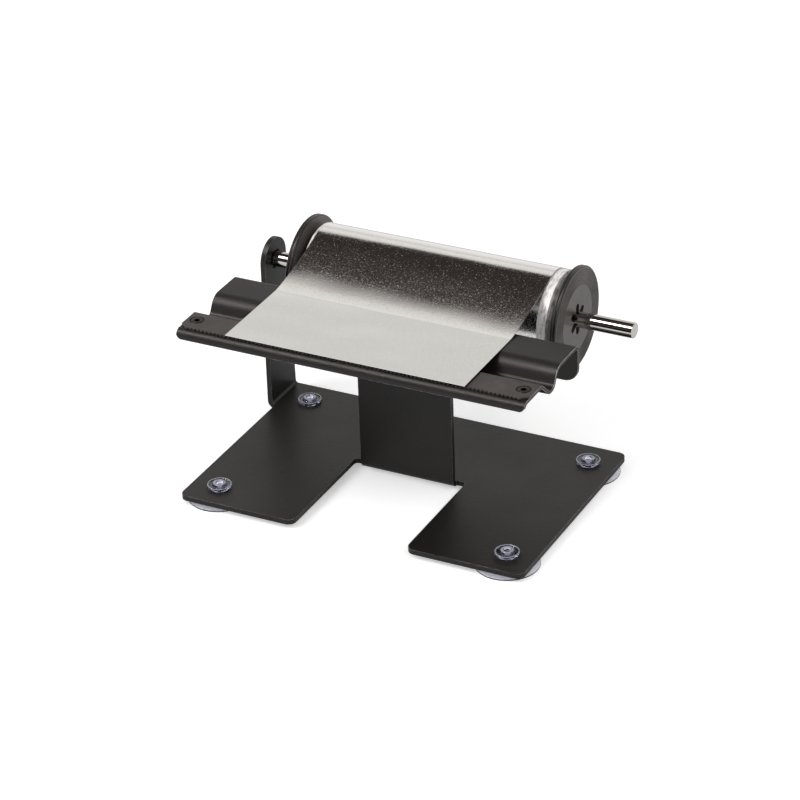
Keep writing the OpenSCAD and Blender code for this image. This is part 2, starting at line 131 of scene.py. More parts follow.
def pick(kind, test):
    """Selects each VERT, EDGE or FACE whose corners all pass a test of x, y, z on the plan."""
    bpy.ops.mesh.select_mode(type=kind)
    bpy.ops.mesh.select_all(action="DESELECT")
    mesh = bpy.context.active_object.data
    shape = bmesh.from_edit_mesh(mesh)
    parts = {"VERT": shape.verts, "EDGE": shape.edges, "FACE": shape.faces}[kind]
    for part in parts:
        corners = [part] if kind == "VERT" else part.verts
        if all(test(*plan(corner.co)) for corner in corners):
            part.select_set(True)
    shape.select_flush_mode()
    bmesh.update_edit_mesh(mesh)

def near(value, target, slack=0.01):
    return abs(value - target) < slack

def cut(x=None, y=None):
    """Cuts the whole mesh along upright planes, at one coordinate of the plan each."""
    for axis, value in enumerate((x, y)):
        if value is not None:
            across = [0, 0, 0]
            across[axis] = 1
            bpy.ops.mesh.select_all(action="SELECT")
            bpy.ops.mesh.bisect(plane_co=at(*[value * a for a in across]), plane_no=across)

def select_only(piece):
    nothing_selected()
    piece.select_set(True)
    bpy.context.view_layer.objects.active = piece

def bevel(offset, segments, affect="VERTICES"):
    """Rounds what is selected, by an offset in millimetres."""
    bpy.ops.mesh.bevel(offset=offset * MM, segments=segments, affect=affect, clamp_overlap=False)

def modify(piece, kind, **settings):
    """Adds a modifier with its settings and applies it."""
    select_only(piece)
    step = piece.modifiers.new(kind.lower(), kind)
    for key, value in settings.items():
        setattr(step, key, value)
    bpy.ops.object.modifier_apply(modifier=step.name)

def smooth(piece, angle=30):
    """Smooth shading on gentle angles, with flat faces kept flat."""
    select_only(piece)
    bpy.ops.object.shade_smooth_by_angle(angle=math.radians(angle))
    modify(piece, "WEIGHTED_NORMAL", keep_sharp=True)

def settle(outward=None):
    """Merges doubles and turns the faces outwards, or towards the given side for an open sheet."""
    bpy.ops.mesh.select_all(action="SELECT")
    bpy.ops.mesh.remove_doubles(threshold=0.002 * MM)
    bpy.ops.mesh.normals_make_consistent(inside=False)
    if outward:
        shape = bmesh.from_edit_mesh(bpy.context.active_object.data)
        widest = max(shape.faces, key=lambda face: face.calc_area())
        if widest.normal.dot(Vector(outward)) < 0:
            bpy.ops.mesh.flip_normals()
    bpy.ops.object.mode_set(mode="OBJECT")

# %% [markdown]
# ## The stand: a folded sheet
# The real stand is one sheet of 2.5 mm steel, cut to an outline and folded on a press: the panel
# up through the gap between the feet, its tab forward under the tray, and an upright at the left.
# It could be three boxes, but boxes show no bend radius. So the top face of the plate is cut like
# the blank, its edges are spun through each fold, and a thickness is given to the whole sheet at
# the end.

# %% The blank
PANEL_LEFT, PANEL_RIGHT = -23.1, 24.9
GAP_LEFT, GAP_RIGHT, GAP_REAR = -27.9, 29.7, 4.5
UPRIGHT_FRONT = 34.7
FOLD = 1.5
half_wide, half_deep = BASE_WIDE / 2, BASE_DEEP / 2

nothing_selected()
bpy.ops.mesh.primitive_plane_add(size=1, location=at(0, 0, PLATE_TOP))
stand = begin("folded_stand", size=(BASE_WIDE * MM, BASE_DEEP * MM, 1))
for x in (GAP_LEFT, PANEL_LEFT, PANEL_RIGHT, GAP_RIGHT):
    cut(x=x)
cut(y=GAP_REAR)
cut(y=UPRIGHT_FRONT)
pick("FACE", lambda x, y, z: GAP_LEFT - 0.1 < x < GAP_RIGHT + 0.1 and y < GAP_REAR + 0.1)
bpy.ops.mesh.delete(type="FACE")
bpy.ops.mesh.select_all(action="DESELECT")
blank = bmesh.from_edit_mesh(stand.data)
for edge in blank.edges:
    edge.select_set(not edge.is_boundary)
bpy.ops.mesh.dissolve_edges(use_verts=False)

# %% Rounded corners of the blank
def round_corners(radius, places):
    """Rounds the corners at these places of the plan."""
    pick("VERT", lambda x, y, z: any(near(x, px) and near(y, py) for px, py in places))
    bevel(radius, 8)

round_corners(4, [(-half_wide, -half_deep), (half_wide, -half_deep), (half_wide, half_deep),
    (GAP_LEFT, -half_deep), (GAP_RIGHT, -half_deep)])
round_corners(2, [(GAP_LEFT, GAP_REAR), (GAP_RIGHT, GAP_REAR)])

# %% Folds of the panel and its tab
def fold(angle, centre, axis, steps=8):
    """Spins the selected edge about a line through a place of the plan. The operator counts its
    angle against the right-hand rule, so it gets the angle with its sign changed."""
    bpy.ops.mesh.spin(steps=steps, angle=-math.radians(angle), center=at(*centre), axis=axis)

def run_out(x=0, y=0, z=0):
    """Extrudes the selected edge by a flat length."""
    bpy.ops.mesh.extrude_edges_move(TRANSFORM_OT_translate={"value": Vector((x, y, z)) * MM})

PANEL_TALL = 77.6
TAB_FRONT = -12.6
pick("EDGE", lambda x, y, z: near(y, GAP_REAR) and PANEL_LEFT - 0.1 < x < PANEL_RIGHT + 0.1)
tab_fold = GAP_REAR - FOLD - FOLD - SHEET
fold(-90, (0, GAP_REAR, PLATE_TOP + FOLD), (1, 0, 0))
run_out(z=PANEL_TALL)
fold(90, (0, tab_fold, PLATE_TOP + FOLD + PANEL_TALL), (1, 0, 0))
run_out(y=TAB_FRONT - tab_fold)

# %% Fold of the upright and its round ear
AXIS_Y, AXIS_Z = 45.2, 79.3
EAR = 10.5
pick("EDGE", lambda x, y, z: near(x, -half_wide) and y > UPRIGHT_FRONT - 0.1)
fold(90, (-half_wide, 0, PLATE_TOP + FOLD), (0, 1, 0))
run_out(z=AXIS_Z - PLATE_TOP - FOLD)
pick("VERT", lambda x, y, z: near(z, AXIS_Z) and near(y, half_deep))
bpy.ops.transform.translate(value=Vector((0, AXIS_Y + EAR - half_deep, 0)) * MM)
pick("EDGE", lambda x, y, z: near(z, AXIS_Z) and x < -half_wide)
run_out(z=EAR)
pick("VERT", lambda x, y, z: near(z, AXIS_Z + EAR))
bevel(EAR, 12)
settle(outward=(0, 0, 1))
modify(stand, "SOLIDIFY", thickness=SHEET * MM, offset=-1, use_even_offset=True)

# %% [markdown]
# ### Edges and holes
# The sheared edges of the blank are a little rounded, so a small bevel is applied first. Its faces
# take the second of two material slots, a pale one that paints a highlight along each edge. Holes
# could be cut into the blank, but a boolean after the folds keeps the folds simple: a cutter is
# shaped for each hole, taken away from the sheet and deleted.

# %% Eased edges and hole cutters
def ease_edges(piece, width, segments):
    """Rounds the sharp edges and puts the new faces in the second material slot."""
    for _ in range(2):
        piece.data.materials.append(None)
    modify(piece, "BEVEL", width=width * MM, segments=segments, limit_method="ANGLE",
        angle_limit=math.radians(50), material=1)
    smooth(piece)

def drill(piece, *cutters):
    """Takes the cutters away from the piece and deletes them."""
    for cutter in cutters:
        modify(piece, "BOOLEAN", operation="DIFFERENCE", object=cutter, solver="EXACT")
        bpy.data.objects.remove(cutter)

def bar_cutter(sides, radius, low, high, turn=(0, 0, 0)):
    """A cylinder or prism with its middle halfway between two places of the plan."""
    nothing_selected()
    low, high = Vector(low), Vector(high)
    bpy.ops.mesh.primitive_cylinder_add(vertices=sides, radius=radius * MM,
        depth=(high - low).length * MM, location=at(*((high + low) / 2)), rotation=turn)
    cutter = begin("cutter")
    bpy.ops.object.mode_set(mode="OBJECT")
    return cutter

ROUND = 48
ALONG_X = (0, math.pi / 2, 0)

ease_edges(stand, 0.3, 3)
print("stand:", len(stand.data.polygons), "faces", [round(c, 1) for c in plan(stand.bound_box[0])],
    [round(c, 1) for c in plan(stand.bound_box[6])])

# %% [markdown]
# ## The tray: one sheet, folded into a wave
# The tray is a thinner sheet that starts as a short skirt, turns over a nose onto a flat deck,
# dips into a finger groove, rises to a crest and turns down again at the back. The side view
# could be drawn as one curve, but a press makes straight runs and round bends, so the edge of the
# deck is walked through a list of runs and bends instead, which keeps every radius what the press
# gave it.

# %% Walk an edge through a press's list
def walk(y, z, heading, moves):
    """Takes the selected edge through (run, bend, radius) moves, from a place and heading in side
    view. A bend counts up from the way ahead; its radius is that of the top face."""
    for run, bend, radius in moves:
        if run:
            run_out(y=run * math.cos(heading), z=run * math.sin(heading))
            y += run * math.cos(heading)
            z += run * math.sin(heading)
        if bend:
            side = math.copysign(radius, bend)
            middle_y, middle_z = y - side * math.sin(heading), z + side * math.cos(heading)
            fold(bend, (0, middle_y, middle_z), (1, 0, 0), steps=max(6, round(abs(bend) / 7)))
            heading += math.radians(bend)
            y, z = middle_y + side * math.sin(heading), middle_z - side * math.cos(heading)
    print("the walk ends at y", round(y, 2), "z", round(z, 2))

# %% Tray sheet
TRAY_HALF = 87
TRAY_SHEET = 1.5
DECK_TOP = 88.6
DECK_FRONT, DECK_REAR = -53.0, -35.2
NOSE = 3.5
nose_rear = DECK_FRONT + NOSE

nothing_selected()
bpy.ops.mesh.primitive_plane_add(size=1, location=at(0, (nose_rear + DECK_REAR) / 2, DECK_TOP))
tray = begin("wave_tray", size=(2 * TRAY_HALF * MM, (DECK_REAR - nose_rear) * MM, 1))
pick("EDGE", lambda x, y, z: near(y, DECK_REAR))
# Most bends have the press's smallest radius. The crest's is softer: it starts earlier on the rise
# and ends later on top, so the runs beside it are shorter by what the larger radius takes up.
PRESS_BEND, CREST_BEND = 3, 7.5
DIP, RISE = 42, 62
saved = (CREST_BEND - PRESS_BEND) * math.tan(math.radians(RISE / 2))
walk(DECK_REAR, DECK_TOP, 0, [
    (0, -DIP, PRESS_BEND), (8.158, DIP, PRESS_BEND),
    (1.2, RISE, PRESS_BEND), (5.569 - saved, -RISE, CREST_BEND),
    (17.7 - saved, -90, 4), (15.2, 0, 0)])
pick("EDGE", lambda x, y, z: near(y, nose_rear))
fold(90, (0, nose_rear, DECK_TOP - NOSE), (1, 0, 0), steps=12)
for drop in (0.3, 0.3, 0.2, 0.1):
    run_out(z=-drop)

# %% Round the tray's corners
SKIRT_LOW, SKIRT_ROUND = 84.2, 2.9
FLANGE_LOW, FLANGE_ROUND = 70.5, 7
SKIRT_TURN = SKIRT_LOW + SKIRT_ROUND
rows = sorted({round(plan(v.co).z, 3) for v in bmesh.from_edit_mesh(tray.data).verts
    if plan(v.co).y < nose_rear and plan(v.co).z < SKIRT_TURN})
for row in rows:
    drawn = TRAY_HALF - SKIRT_ROUND + math.sqrt(max(0, SKIRT_ROUND ** 2 - (SKIRT_TURN - row) ** 2))
    pick("VERT", lambda x, y, z: near(z, row, 0.002) and y < nose_rear)
    bpy.ops.transform.resize(value=(drawn / TRAY_HALF, 1, 1), center_override=at(0, 0, row))
pick("VERT", lambda x, y, z: near(z, FLANGE_LOW))
bevel(FLANGE_ROUND, 10)
settle(outward=(0, 0, 1))
modify(tray, "SOLIDIFY", thickness=TRAY_SHEET * MM, offset=-1, use_even_offset=True)
ease_edges(tray, 0.22, 2)
print("tray:", len(tray.data.polygons), "faces", [round(c, 1) for c in plan(tray.bound_box[0])],
    [round(c, 1) for c in plan(tray.bound_box[6])])

# %% [markdown]
# ## The toothed strip
# Foil tears along a line of small teeth. They could be cut one by one, but a strip that is
# divided into half pitches already has a point for each tip and each root: the front points are
# chosen turn and turn about, and every second one is drawn back by the depth of a tooth.

# %% Teeth
STRIP_FRONT, STRIP_REAR = -50.8, -35.3
STRIP_THICK = 0.9
TOOTH_PITCH, TOOTH_DEEP = 2, 1.1
STRIP_CORNER = 2.6
TEETH = int((2 * TRAY_HALF - 2 * STRIP_CORNER) // TOOTH_PITCH)
saw_half = TEETH * TOOTH_PITCH / 2

nothing_selected()
bpy.ops.mesh.primitive_grid_add(x_subdivisions=2 * TEETH, y_subdivisions=1, size=1,
    location=at(0, (STRIP_FRONT + STRIP_REAR) / 2, DECK_TOP + STRIP_THICK))
strip = begin("toothed_strip", size=(2 * saw_half * MM, (STRIP_REAR - STRIP_FRONT) * MM, 1))
pick("VERT", lambda x, y, z: near(y, STRIP_FRONT)
    and round(2 * (x + saw_half) / TOOTH_PITCH) % 2 == 0)
bpy.ops.transform.translate(value=(0, TOOTH_DEEP * MM, 0))
for side in (-1, 1):
    pick("EDGE", lambda x, y, z: near(x, side * saw_half))
    run_out(x=side * (TRAY_HALF - saw_half))
    pick("VERT", lambda x, y, z: near(x, side * TRAY_HALF) and y < STRIP_FRONT + TOOTH_DEEP + 0.1)
    bpy.ops.transform.translate(value=(0, STRIP_CORNER * MM, 0))
settle(outward=(0, 0, 1))
modify(strip, "SOLIDIFY", thickness=STRIP_THICK * MM, offset=-1)
modify(strip, "BEVEL", width=0.12 * MM, segments=1, limit_method="ANGLE",
    angle_limit=math.radians(50))
print("strip:", TEETH, "teeth,", len(strip.data.polygons), "faces")

# %% [markdown]
# ## Screws
# Five countersunk screws hold things together, each with a hexagon socket. Their threads are
# hidden, so a screw is its head, its cone and a plain shank. The three that show are turned here,
# as on a lathe: half the section is spun about the screw's axis, and a six-sided bar cuts the
# socket. The two under the foil keep the measured model's shape.

# %% A countersunk screw
STRIP_SCREW_X, STRIP_SCREW_Y = 81.8, -42.1
SOCKET_TURN = math.radians(17)

def turned(name, section, centre, axis, steps):
    """Spins a chain of (radius, height, rounding) points about an axis through a place of the plan.
    A first or last radius of 0 closes the shape on its axis."""
    axis = Vector(axis)
    out = Vector((0, 0, 1)) if abs(axis.x) > 0.5 else Vector((1, 0, 0))
    foot = Vector(centre)
    spots = [foot + out * radius + axis * height for radius, height, _ in section]
    nothing_selected()
    bpy.ops.mesh.primitive_plane_add(size=0.001, location=at(*spots[0]))
    piece = begin(name)
    bpy.ops.mesh.merge(type="CENTER")
    for last, spot in zip(spots, spots[1:]):
        bpy.ops.mesh.extrude_vertices_move(TRANSFORM_OT_translate={"value": (spot - last) * MM})
    for rounding in {r for _, _, r in section if r}:
        chosen = [spot for spot, point in zip(spots, section) if point[2] == rounding]
        pick("VERT", lambda *place: any((Vector(place) - spot).length < 0.005 for spot in chosen))
        bevel(rounding, 3)
    bpy.ops.mesh.select_all(action="SELECT")
    bpy.ops.mesh.spin(steps=steps, angle=2 * math.pi, center=at(*foot), axis=axis)
    settle()
    return piece

def sunk_screw(name, face, axis, shank, head, long, socket, deep):
    """A countersunk screw with its head's face at a place and its shank against the axis. The sizes
    are the diameters of shank and head, its length, and the socket's width and depth."""
    cone = (head - shank) / 2
    screw = turned(name, [(0, 0, 0), (head / 2 - 0.15, 0, 0.12), (head / 2, -0.15, 0),
        (shank / 2, -cone, 0), (shank / 2, -long + 0.3, 0), (shank / 2 - 0.3, -long, 0),
        (0, -long, 0)], face, axis, steps=48)
    up, face = Vector(axis), Vector(face)
    turn = ALONG_X if abs(up.x) > 0.5 else (0, 0, SOCKET_TURN)
    drill(screw, bar_cutter(6, socket / math.sqrt(3), face - up * deep, face + up, turn))
    smooth(screw)
    return screw

STRIP_TOP = DECK_TOP + STRIP_THICK
UPRIGHT_FACE = -BASE_WIDE / 2 - UPRIGHT_OUT
strip_screws = [sunk_screw("strip_screw_" + name, (side * STRIP_SCREW_X, STRIP_SCREW_Y, STRIP_TOP),
    (0, 0, 1), shank=3, head=6.0, long=7.1, socket=2.5, deep=0.9)
    for name, side in (("left", -1), ("right", 1))]
rod_screw = sunk_screw("rod_screw", (UPRIGHT_FACE, AXIS_Y, AXIS_Z), (-1, 0, 0),
    shank=5, head=9.2, long=12, socket=3, deep=1.6)
print("screws:", [len(screw.data.polygons) for screw in strip_screws + [rod_screw]])

# %% [markdown]
# The holes for them are a hair wider than the heads. That leaves the thin dark ring that a screw
# shows in a real hole, and no two faces lie in the same plane.

# %% Drill the sheets
HEAD_HOLE, SHANK_HOLE, NECK_HOLE, UPRIGHT_HOLE = 3.4, 2.5, 3.1, 4.8
CUP_X, CUP_Y = 73.8, 44.8

def drill_up(sheet, radius, x, y, low, high):
    """Drills an upright hole through a sheet, between two heights."""
    drill(sheet, bar_cutter(ROUND, radius, (x, y, low), (x, y, high)))

for side in (-1, 1):
    screw = side * STRIP_SCREW_X, STRIP_SCREW_Y
    drill_up(strip, HEAD_HOLE, *screw, DECK_TOP - 0.3, STRIP_TOP + 0.2)
    drill_up(tray, SHANK_HOLE, *screw, DECK_TOP - TRAY_SHEET - 1, DECK_TOP + 0.5)
    for end in (-1, 1):
        drill_up(stand, NECK_HOLE, side * CUP_X, end * CUP_Y, 1, 7)
drill(stand, bar_cutter(ROUND, UPRIGHT_HOLE, (UPRIGHT_FACE - 0.5, AXIS_Y, AXIS_Z),
    (UPRIGHT_FACE + 2.7, AXIS_Y, AXIS_Z), ALONG_X))
smooth(strip)
smooth(tray)
smooth(stand)

# %% [markdown]
# ## The suction cups
# Clear soft plastic cups are pressed up through the plate, so each shows a ringed head on top, a
# neck in the hole and a wide skirt below. Such a shape is round all the way, so half its section
# is drawn as a chain of points and spun about its axis; the corners are rounded first, as moulds
# are.

# %% Cup
CUP_SECTION = [
    (0, 0.7, 0), (13.1, 0.05, 0), (14.9, 0, 0.1), (15.1, 0.3, 0), (15.0, 0.62, 0.1),
    (11, 1.3, 0), (6.5, 2.58, 0.3), (3, 2.6, 0), (3, 5.12, 0), (5.6, 5.12, 0.15),
    (5.75, 6.0, 0), (5.75, 6.7, 0.22), (5.2, 6.7, 0.16), (5.0, 6.25, 0.2), (3.4, 6.2, 0.2),
    (3.0, 7.4, 0.25), (1.95, 7.5, 0.25), (1.6, 7.0, 0), (1.5, 4.9, 0.3), (0, 4.9, 0)]
first_cup = turned("suction_cup_front_left", CUP_SECTION, (-CUP_X, -CUP_Y, 0), (0, 0, 1), steps=72)
smooth(first_cup, 40)

def copy_to(piece, name, shift):
    """A copy with its own mesh, moved by millimetres in the mesh itself."""
    select_only(piece)
    bpy.ops.object.duplicate(linked=False)
    twin = bpy.context.active_object
    twin.name = twin.data.name = name
    bpy.ops.object.mode_set(mode="EDIT")
    bpy.ops.mesh.select_all(action="SELECT")
    bpy.ops.transform.translate(value=Vector(shift) * MM)
    bpy.ops.object.mode_set(mode="OBJECT")
    return twin

cups = {"cup_front_left": first_cup}
for name, shift in (("front_right", (2 * CUP_X, 0, 0)), ("rear_left", (0, 2 * CUP_Y, 0)),
        ("rear_right", (2 * CUP_X, 2 * CUP_Y, 0))):
    cups["cup_" + name] = copy_to(first_cup, "suction_cup_" + name, shift)
print("cups:", len(cups), "of", len(first_cup.data.polygons), "faces")

# %% [markdown]
# ## The rod and the end discs
# The rod is bright drawn steel with a cut edge. The discs are moulded: fine rings on the outer
# face, a double rim, a hub inside the roll, and six slots from the bore that leave spring fingers
# to grip the rod. The rings are part of the section that is spun; the slots are bars with round
# ends, taken away from the turned disc.

# %% Rod
ROD_START, ROD_LONG, ROD_R = -89.0, 186.3, 3.8
rod = turned("polished_rod", [(0, 12, 0), (2.6, 12, 0), (2.6, 0, 0), (ROD_R, 0, 0),
    (ROD_R, ROD_LONG - 0.5, 0.15), (ROD_R - 0.5, ROD_LONG, 0.1), (0, ROD_LONG, 0)],
    (ROD_START, AXIS_Y, AXIS_Z), (1, 0, 0), steps=96)
smooth(rod)
print("rod:", len(rod.data.polygons), "faces")

# %% Disc
DISC_R, DISC_THICK = 25, 3.2
LEFT_FACE, RIGHT_FACE = -70.8, 68.5
RING_PITCH, RING_START, RING_COUNT = 1.1, 16.3, 7
BORE, HUB_R, HUB_LONG = 3.85, 5.45, 11.2
COLLAR_IN, COLLAR_OUT, COLLAR_LONG = 11.6, 13.2, 15.4
SEAT_R, SEAT = 15, 5.4
SLOT_DEEP, SLOT_HALF_LONG, SLOT_HALF_WIDE = 12, 7.8, 1.7

def disc_section():
    """Half section of a disc, from its bore over the rings and the double rim to the step on which
    the roll sits, the collar inside the core and the hub on the rod. The ringed face is at 0."""
    rings = []
    for i in range(RING_COUNT):
        r = RING_START + i * RING_PITCH
        rings += [(r, 0, 0), (r + 0.15, 0.28, 0), (r + 0.4, 0.4, 0), (r + 0.65, 0.28, 0),
            (r + 0.8, 0, 0)]
    return [(BORE, 0, 0)] + rings + [
        (DISC_R - 0.6, 0, 0.3), (DISC_R, 0.5, 0.4), (DISC_R, 1.0, 0.3), (DISC_R - 0.6, 1.5, 0.3),
        (DISC_R, 2.0, 0.3), (DISC_R, DISC_THICK - 0.5, 0.4), (DISC_R - 0.6, DISC_THICK, 0.2),
        (SEAT_R, DISC_THICK, 0.2), (SEAT_R, SEAT, 0.2), (COLLAR_OUT, SEAT, 0),
        (COLLAR_OUT, COLLAR_LONG - 0.5, 0.2), (COLLAR_OUT - 0.5, COLLAR_LONG, 0.1),
        (COLLAR_IN, COLLAR_LONG, 0.1), (COLLAR_IN, DISC_THICK, 0.3), (HUB_R, DISC_THICK, 0.3),
        (HUB_R, HUB_LONG, 0.2), (BORE, HUB_LONG, 0.1), (BORE, 0, 0)]

def slot_cutter(turn, low_x, high_x):
    """A bar with round ends across the disc, turned about the rod's axis."""
    nothing_selected()
    bpy.ops.mesh.primitive_cube_add(size=1, location=at((low_x + high_x) / 2, AXIS_Y, AXIS_Z))
    bar = begin("cutter",
        size=((high_x - low_x) * MM, 2 * SLOT_HALF_WIDE * MM, 2 * SLOT_HALF_LONG * MM))
    shape = bmesh.from_edit_mesh(bar.data)
    bpy.ops.mesh.select_mode(type="EDGE")
    for edge in shape.edges:
        along = (edge.verts[1].co - edge.verts[0].co).normalized()
        edge.select_set(abs(along.x) > 0.9)
    bevel(SLOT_HALF_WIDE * 0.999, 8, affect="EDGES")
    bpy.ops.mesh.select_all(action="SELECT")
    bpy.ops.transform.rotate(value=turn, orient_axis="X", center_override=at(0, AXIS_Y, AXIS_Z))
    bpy.ops.object.mode_set(mode="OBJECT")
    return bar

def end_disc(name, face, inward):
    """A disc whose ringed face is at an x and whose hub points inward, 1 or -1. Three bars through
    the axis cut its six slots."""
    disc = turned(name, disc_section(), (face, AXIS_Y, AXIS_Z), (inward, 0, 0), steps=128)
    low, high = sorted((face - inward, face + inward * SLOT_DEEP))
    drill(disc, *[slot_cutter(math.radians(60 * i), low, high) for i in range(3)])
    smooth(disc)
    return disc

left_disc = end_disc("left_end_disc", LEFT_FACE, 1)
right_disc = end_disc("right_end_disc", RIGHT_FACE, -1)
print("discs:", len(left_disc.data.polygons), len(right_disc.data.polygons), "faces")

# %% [markdown]
# ## The wound foil
# Foil this thin is wound in hundreds of turns, far too many to model. What the eye sees is a
# smooth silver barrel whose last turn is a little narrower than the rest. At its ends the inner
# turns have slipped outwards and don't lie quite flush, so each end is a shallow cone of fine
# rings. The section has a few steps there, enough to catch the light unevenly.

# %% Roll
ROLL_START, ROLL_END = -64.0, 62.2
LAST_START, LAST_END = -61.8, 57.6
TURNS = [15.1, 15.8, 16.4, 17.3, 18.0, 18.8, 19.4, 20.2, 20.8, 21.4]
SLIP, CONE_DEEP = 2.4, 4.5

def roll_end(way, edge):
    """One end of the roll, from the core out to its rim, with its cone pointing way, 1 or -1."""
    points = []
    for i, (low, high) in enumerate(zip(TURNS, TURNS[1:])):
        slipped = edge + way * SLIP * min(1, (TURNS[-1] - low) / CONE_DEEP)
        step = way * (0.1 + 0.08 * (i % 3))
        points += [(low, slipped, 0), ((low + high) / 2, slipped - step, 0)]
    return points + [(21.5, edge, 0), (21.85, edge - way * 0.35, 0)]

roll = turned("wound_foil", roll_end(-1, ROLL_START) + [(21.85, LAST_START, 0),
    (22, LAST_START + 0.05, 0), (22, LAST_END - 0.05, 0), (21.85, LAST_END, 0)]
    + roll_end(1, ROLL_END)[::-1] + [(TURNS[0], ROLL_START - SLIP, 0)],
    (0, AXIS_Y, AXIS_Z), (1, 0, 0), steps=128)
smooth(roll, 40)
print("roll:", len(roll.data.polygons), "faces")

# %% [markdown]
# ## The loose foil
# The foil comes over the top of the roll, falls in one soft curve to the crest of the tray and
# then lies flat as far as the teeth. That side view is a list of points: an arc on the roll, a
# curve with four handles for the fall, and a straight run. A row of edges is then drawn along it.

# %% Path of the foil
FOIL_LEFT, FOIL_RIGHT = -62.2, 57.6
FOIL_R = 22.36
LEAVE, BACK = 22, 20
TUCK, TUCK_FROM = 0.3, 8
LAND_Y, FOIL_LOW = -3.8, 90.06
FOIL_END = -51
PULL_OUT, PULL_IN = 0.24, 0.62
ARC_STEPS, FALL_STEPS, FLAT_STEPS = 24, 32, 24

def on_roll(degrees):
    """A point of the foil's lower face in side view, by its angle past the roll's top. Behind the
    top the foil tucks in, so that its far edge lies on the roll."""
    angle = math.radians(degrees)
    r = FOIL_R - TUCK * max(0, (-TUCK_FROM - degrees) / (BACK - TUCK_FROM))
    return Vector((AXIS_Y - r * math.sin(angle), AXIS_Z + r * math.cos(angle)))

leave = on_roll(LEAVE)
land = Vector((LAND_Y, FOIL_LOW))
pull = PULL_OUT * (leave.x - land.x)
lead_out = leave - pull * Vector((math.cos(math.radians(LEAVE)), math.sin(math.radians(LEAVE))))
lead_in = land + PULL_IN * pull * Vector((1, 0))
path = [on_roll(-BACK + (LEAVE + BACK) * i / ARC_STEPS) for i in range(ARC_STEPS)]
for i in range(FALL_STEPS + 1):
    u = i / FALL_STEPS
    v = 1 - u
    path.append(v ** 3 * leave + 3 * v * v * u * lead_out + 3 * v * u * u * lead_in + u ** 3 * land)
path += [Vector((LAND_Y + (FOIL_END - LAND_Y) * i / FLAT_STEPS, FOIL_LOW))
    for i in range(1, FLAT_STEPS + 1)]
print("path of the foil:", len(path), "points")

# %% Sheet of foil
nothing_selected()
bpy.ops.mesh.primitive_grid_add(x_subdivisions=60, y_subdivisions=1, size=1,
    location=at((FOIL_LEFT + FOIL_RIGHT) / 2, path[0].x + 0.5, path[0].y))
foil = begin("loose_foil", size=((FOIL_RIGHT - FOIL_LEFT) * MM, 1 * MM, 1))
pick("VERT", lambda x, y, z: y > path[0].x + 0.5)
bpy.ops.mesh.delete(type="VERT")
bpy.ops.mesh.select_mode(type="EDGE")
bpy.ops.mesh.select_all(action="SELECT")
for last, spot in zip(path, path[1:]):
    run_out(y=spot.x - last.x, z=spot.y - last.y)
settle(outward=(0, 0, 1))
modify(foil, "SOLIDIFY", thickness=0.2 * MM, offset=1)
smooth(foil, 60)
print("foil:", len(foil.data.polygons), "faces")

# %% [markdown]
# ## What each piece stands for, and what it moves with
# The stand and all that is fixed to it stay still, and the loose foil with them. The wound foil,
# its core and the left disc turn together on the rod, and the right disc turns with them and
# slides outwards to free the roll. Each finished piece hides the measured pieces whose place it
# takes.

# %% Ride and replace
def belongs(piece, body, slot, *nodes):
    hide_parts(*nodes)
    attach(piece, body)

belongs(stand, "stand", "powder_coat", "stand")
belongs(tray, "stand", "powder_coat", "tray")
belongs(strip, "stand", "blade_black", "cutter_blade")
belongs(strip_screws[0], "stand", "black_screw", "cutter_screw_left")
belongs(strip_screws[1], "stand", "black_screw", "cutter_screw_right")
belongs(rod_screw, "stand", "black_screw", "shaft_screw")
for node, piece in cups.items():
    belongs(piece, "stand", "clear_cup", node)
belongs(rod, "stand", "polished_steel", "shaft")
belongs(left_disc, "spool", "disc_plastic", "left_disc")
belongs(right_disc, "right_disc", "disc_plastic", "right_disc")
belongs(roll, "spool", "foil", "foil_roll")
belongs(foil, "stand", "foil", "foil_sheet")

# %% [markdown]
# ## Finishes
# Each finish starts from what the real one is. Colours are the hexadecimal values that one reads
# off a screen, so one function turns them to the linear values that a shader works with, and one
# more adds a node with its settings and links. A pattern's function finds the node tree of the
# socket that it is given. Patterns are sized in millimetres.

# %% Colour and node helpers
def paint(code):
    """A screen colour such as #2f2d2b as linear red, green, blue and alpha."""
    parts = [int(code[i:i + 2], 16) / 255 for i in (1, 3, 5)]
    return [c / 12.92 if c <= 0.04045 else ((c + 0.055) / 1.055) ** 2.4 for c in parts] + [1]

def feed(node, inputs):
    """Sets a node's inputs, by name or number, to values, or links them to output sockets."""
    for key, value in inputs.items():
        if isinstance(value, bpy.types.NodeSocket):
            node.id_data.links.new(value, node.inputs[key])
        else:
            node.inputs[key].default_value = value

def add(tree, kind, inputs=None, **settings):
    """Adds a node with its settings and its inputs."""
    node = tree.nodes.new("ShaderNode" + kind)
    for key, value in settings.items():
        setattr(node, key, value)
    feed(node, inputs or {})
    return node

def finish(name):
    """A new material with its shader and its pattern coordinates, which are in metres."""
    material = bpy.data.materials.new(name)
    material.use_nodes = True
    tree = material.node_tree
    tree.nodes.clear()
    shader = add(tree, "BsdfPrincipled")
    add(tree, "OutputMaterial", {"Surface": shader.outputs[0]})
    return material, shader, add(tree, "TexCoord").outputs["Object"]

def grain(place, size, stretch=(1, 1, 1), detail=2, rough=0.5):
    """Noise with blotches about size millimetres across, drawn out along an axis by stretch."""
    tree = place.id_data
    drawn = add(tree, "Mapping", {"Vector": place, "Scale": [1 / s for s in stretch]}).outputs[0]
    return add(tree, "TexNoise", {"Vector": drawn, "Scale": 1 / (size * MM), "Detail": detail,
        "Roughness": rough}).outputs["Fac"]

